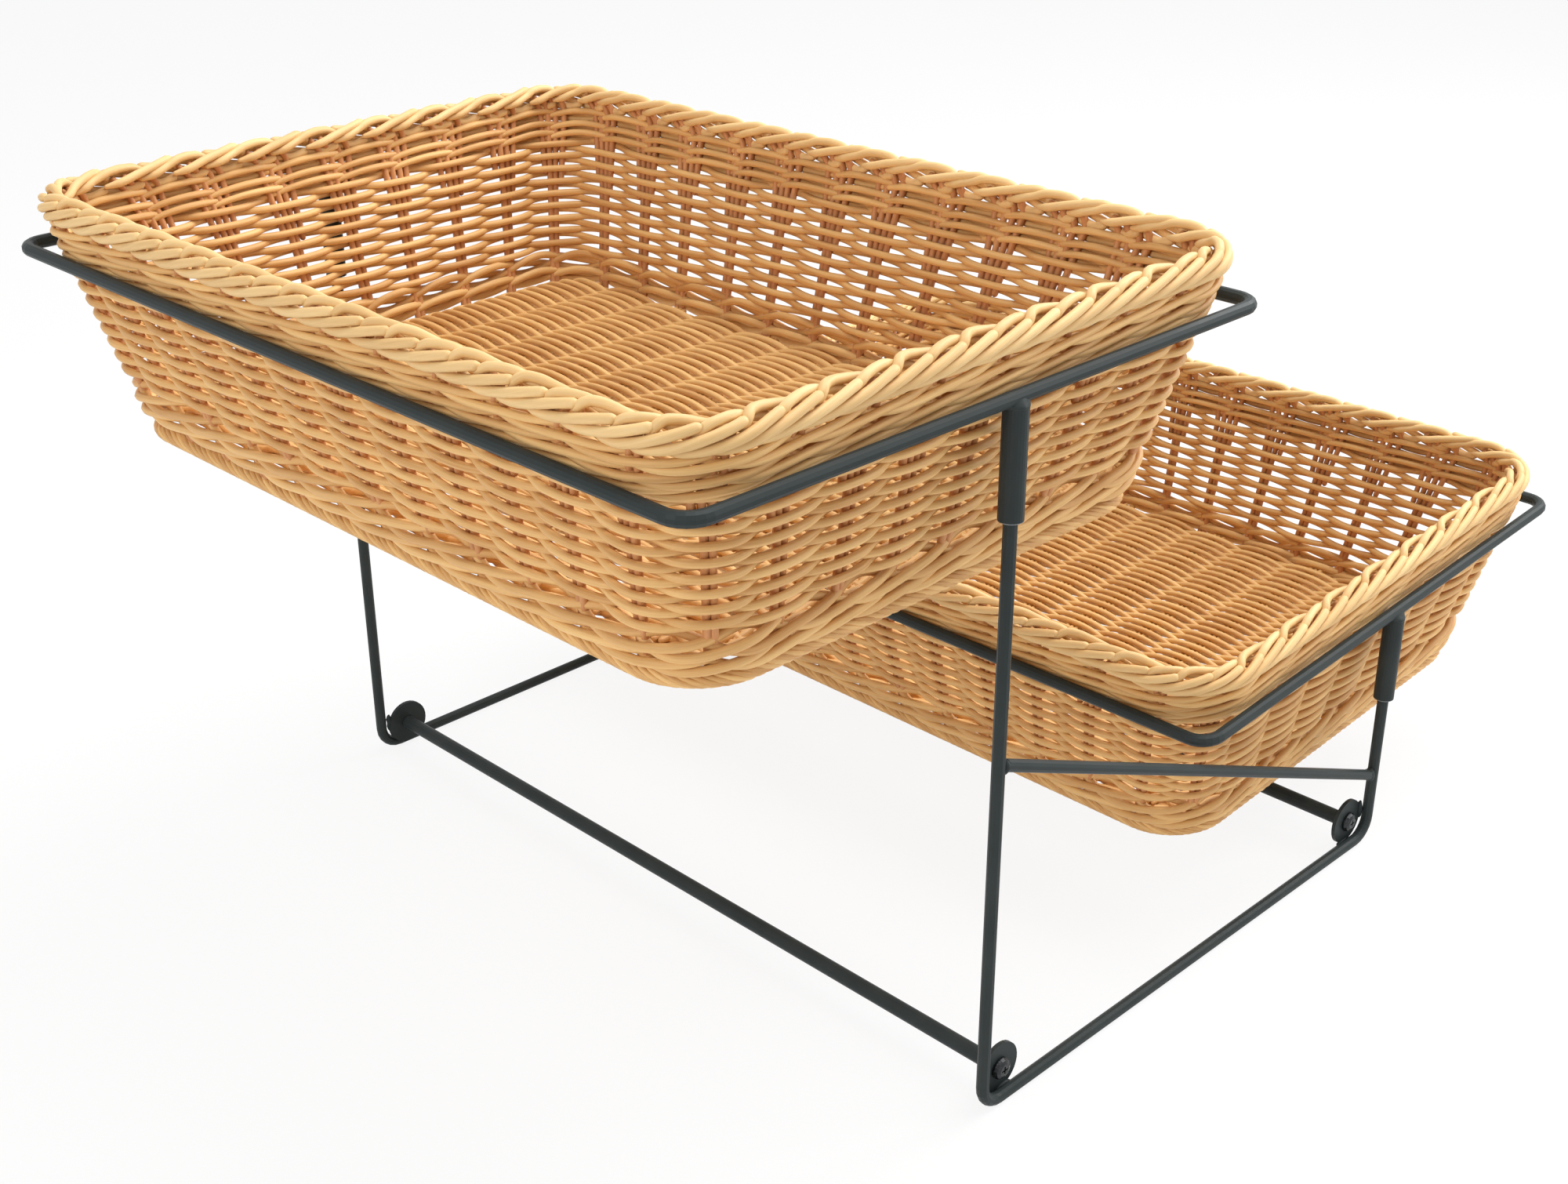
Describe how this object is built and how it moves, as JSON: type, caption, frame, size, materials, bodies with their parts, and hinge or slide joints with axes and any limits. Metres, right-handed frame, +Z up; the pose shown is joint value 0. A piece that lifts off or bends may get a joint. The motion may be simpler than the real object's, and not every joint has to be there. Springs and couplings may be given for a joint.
{
  "type": "tiered display stand",
  "caption": "Black wire counter stand with a tall rear tier and a low front tier, each a lift-off wire holder with a woven basket.",
  "frame": {"origin": "on the surface that the stand rests on, in the middle of its outline", "axes": "+Z up; -Y is the front, with the low tier; +Y is the back, with the tall tier; +X runs along the baskets' long sides, to the right of someone facing the front"},
  "size_m": [0.491, 0.69, 0.386],
  "materials": {
    "powder_coat": "satin black powder coat on steel wire",
    "screw": "glossy black-plated steel",
    "cane": "honey-coloured round plastic cane, woven, faint grain and soft sheen"
  },
  "bodies": {
    "frame": {"left_side_wire": "powder_coat", "right_side_wire": "powder_coat", "left_brace": "powder_coat", "right_brace": "powder_coat", "rear_cross_bar": "powder_coat", "front_cross_bar": "powder_coat", "rear_left_disc": "powder_coat", "rear_right_disc": "powder_coat", "front_left_disc": "powder_coat", "front_right_disc": "powder_coat", "rear_left_screw": "screw", "rear_right_screw": "screw", "front_left_screw": "screw", "front_right_screw": "screw"},
    "upper_holder": {"upper_holder_wire": "powder_coat", "upper_left_sleeve": "powder_coat", "upper_right_sleeve": "powder_coat"},
    "lower_holder": {"lower_holder_wire": "powder_coat", "lower_left_sleeve": "powder_coat", "lower_right_sleeve": "powder_coat"},
    "upper_basket": {"upper_basket_rim": "cane", "upper_basket_wall": "cane", "upper_basket_floor": "cane", "upper_basket_foot": "cane"},
    "lower_basket": {"lower_basket_rim": "cane", "lower_basket_wall": "cane", "lower_basket_floor": "cane", "lower_basket_foot": "cane"}
  },
  "joints": [
    {"name": "upper_holder_lift", "type": "slide", "parent": "frame", "child": "upper_holder", "axis": [0, 0, 1], "range_m": [0, 0.055]},
    {"name": "lower_holder_lift", "type": "slide", "parent": "frame", "child": "lower_holder", "axis": [0, 0, 1], "range_m": [0, 0.055]},
    {"name": "upper_basket_lift", "type": "slide", "parent": "upper_holder", "child": "upper_basket", "axis": [0, 0, 1], "range_m": [0, 0.1]},
    {"name": "lower_basket_lift", "type": "slide", "parent": "lower_holder", "child": "lower_basket", "axis": [0, 0, 1], "range_m": [0, 0.1]}
  ]
}
